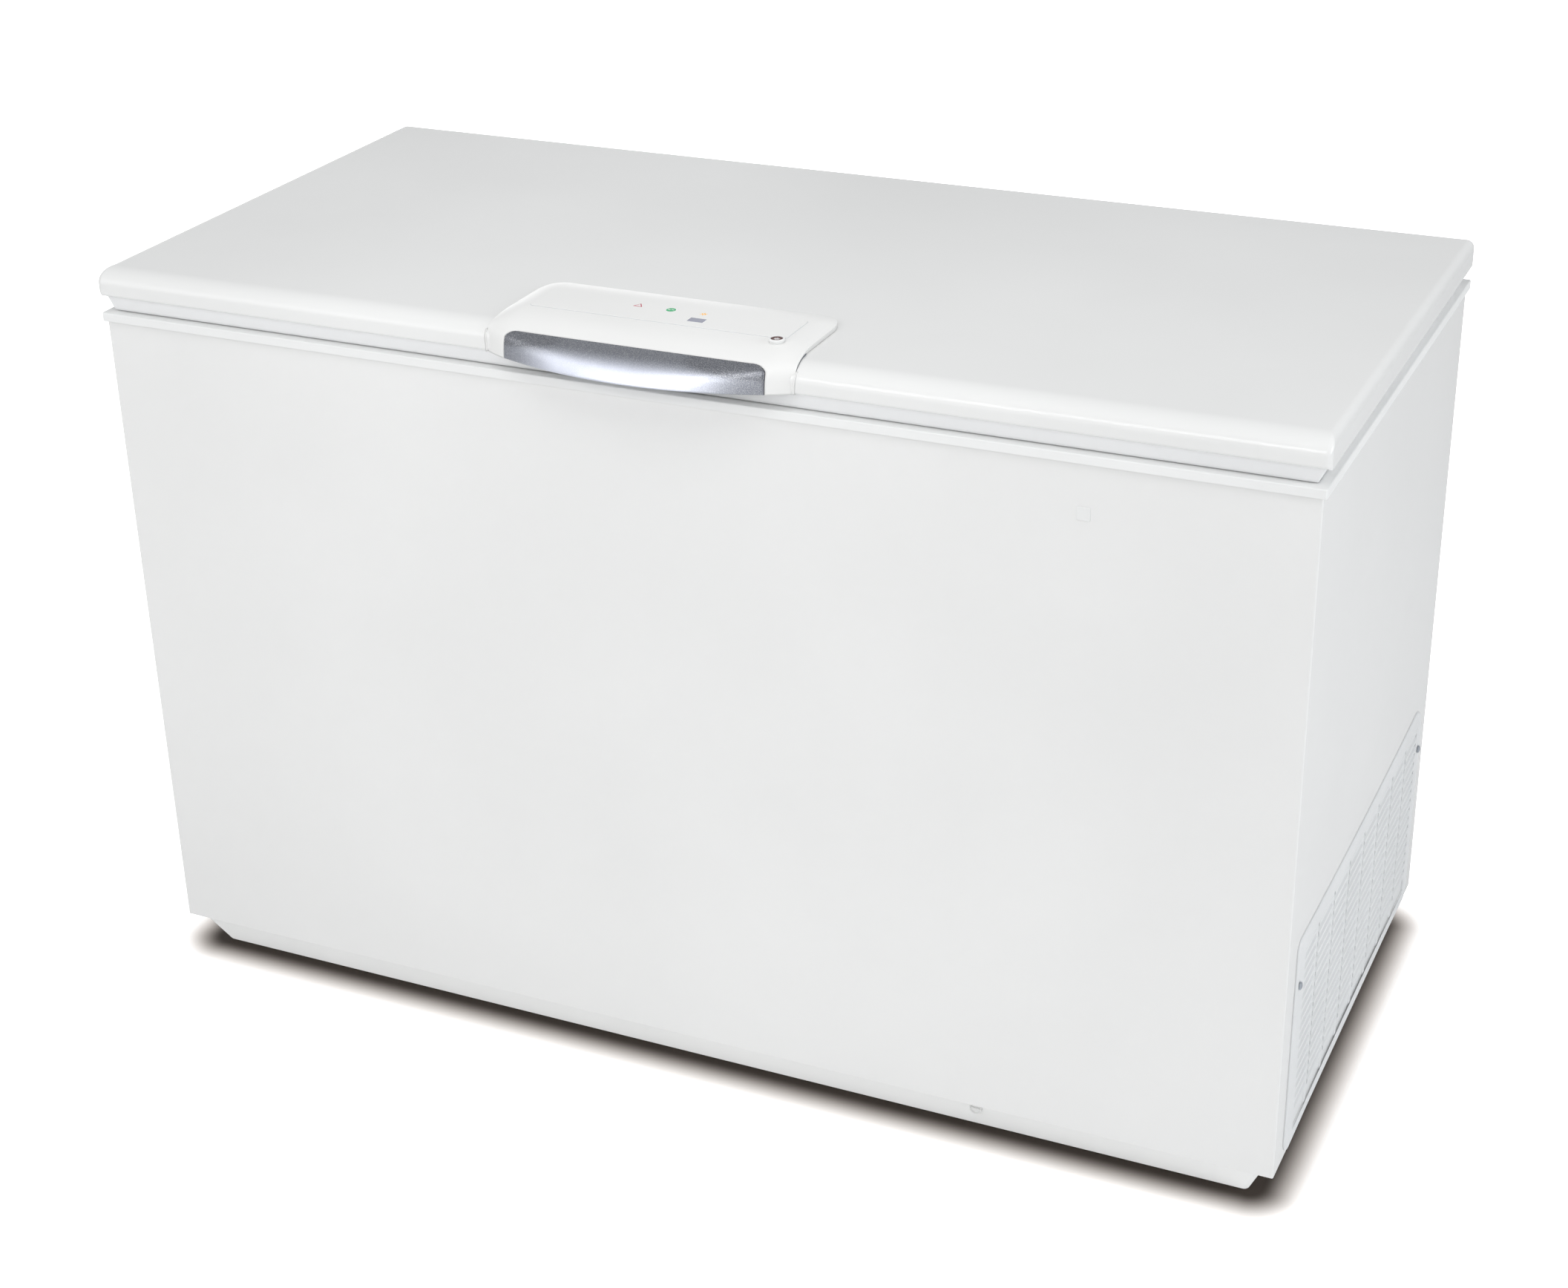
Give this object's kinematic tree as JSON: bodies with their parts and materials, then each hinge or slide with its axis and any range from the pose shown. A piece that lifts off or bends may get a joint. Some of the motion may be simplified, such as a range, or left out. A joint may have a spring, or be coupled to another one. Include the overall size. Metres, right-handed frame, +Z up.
{
  "type": "chest freezer",
  "caption": "White chest freezer with a top lid on rear hinges, a front grip with a control panel, a louvred compressor bay and hanging baskets.",
  "frame": {"origin": "on the floor, at the centre of the footprint's bounding box", "axes": "+Z up, front of the freezer towards -Y, compressor bay and louvred cover towards +X"},
  "size_m": [1.336, 0.6748, 0.8621],
  "materials": {
    "white_paint": "gloss",
    "zinc": "satin",
    "white_plastic": "satin",
    "lining_plastic": "satin",
    "embossed_aluminium": "satin",
    "foam": "matte",
    "tube_steel": "satin",
    "aluminium_tube": "satin",
    "copper": "satin",
    "black_paint": "gloss",
    "black_plastic": "satin",
    "black_rubber": "matte",
    "seal_rubber": "matte",
    "silver_plastic": "satin",
    "circuit_board": "satin",
    "lamp_cover": "gloss",
    "display_grey": "gloss",
    "lens_red": "gloss",
    "lens_green": "gloss",
    "lens_yellow": "gloss",
    "button_brown": "satin"
  },
  "bodies": {
    "cabinet": {"plinth_frame": "white_paint", "outer_wrap": "white_paint", "rear_panel": "zinc", "bottom_panel": "zinc", "bay_partition": "zinc", "compressor_shelf": "zinc", "mouth_frame": "white_plastic", "inner_tub": "embossed_aluminium", "cabinet_foam": "foam", "evaporator_tube": "aluminium_tube", "condenser_tube": "copper", "compressor_shell": "black_paint", "compressor_mount": "zinc", "compressor_grommet_1": "black_rubber", "compressor_grommet_2": "black_rubber", "compressor_grommet_3": "black_rubber", "compressor_grommet_4": "black_rubber", "terminal_box": "black_plastic", "suction_pipe": "copper", "discharge_pipe": "copper", "filter_drier": "copper", "drier_clip": "zinc", "power_module": "black_plastic", "mains_inlet": "black_plastic", "side_cover": "white_plastic", "side_cover_screw_front": "zinc", "side_cover_screw_rear": "zinc", "front_blanking_cover": "white_plastic", "drain_pipe": "black_plastic", "hinge_leaf_left": "zinc", "hinge_leaf_right": "zinc", "hinge_pin_left": "tube_steel", "hinge_pin_right": "tube_steel", "hinge_spring_left": "tube_steel", "hinge_spring_right": "tube_steel"},
    "lid": {"lid_shell": "white_paint", "lid_foam": "foam", "lid_lining": "lining_plastic", "lid_seal": "seal_rubber", "lamp_base": "white_plastic", "lamp_lens": "lamp_cover", "unit_housing": "white_plastic", "grip_insert": "silver_plastic", "unit_base": "white_plastic", "unit_screw_left": "zinc", "unit_screw_right": "zinc", "control_board": "circuit_board", "alarm_lamp": "lens_red", "mains_lamp": "lens_green", "fast_freeze_lamp": "lens_yellow", "display_module": "display_grey", "button_bezel": "white_plastic", "button_spring": "tube_steel", "lid_leaf_left": "zinc", "lid_leaf_right": "zinc"},
    "fast_freeze_button": {"button_cap": "button_brown"},
    "left_basket": {"basket_left": "white_plastic"},
    "right_basket": {"basket_right": "white_plastic"},
    "floor_plug": {"drain_plug": "black_rubber"},
    "drain_knob": {"drain_spout": "white_plastic"}
  },
  "joints": [
    {"name": "lid_hinge", "type": "hinge", "parent": "cabinet", "child": "lid", "pos_m": [0, 0.33295, 0.812], "axis": [-1, 0, 0], "range_deg": [0, 85]},
    {"name": "button_press", "type": "slide", "parent": "lid", "child": "fast_freeze_button", "axis": [0, 0, -1], "range_m": [0, 0.0012], "stiffness_N_per_m": 500, "deforming": ["button_spring"]},
    {"name": "left_basket_slide", "type": "slide", "parent": "cabinet", "child": "left_basket", "axis": [1, 0, 0], "range_m": [0, 0.345]},
    {"name": "right_basket_slide", "type": "slide", "parent": "cabinet", "child": "right_basket", "axis": [-1, 0, 0], "range_m": [0, 0.345]},
    {"name": "floor_plug_lift", "type": "slide", "parent": "cabinet", "child": "floor_plug", "axis": [0, 0, 1], "range_m": [0, 0.03]},
    {"name": "drain_knob_pull", "type": "slide", "parent": "cabinet", "child": "drain_knob", "axis": [0, -1, 0], "range_m": [0, 0.015]}
  ]
}
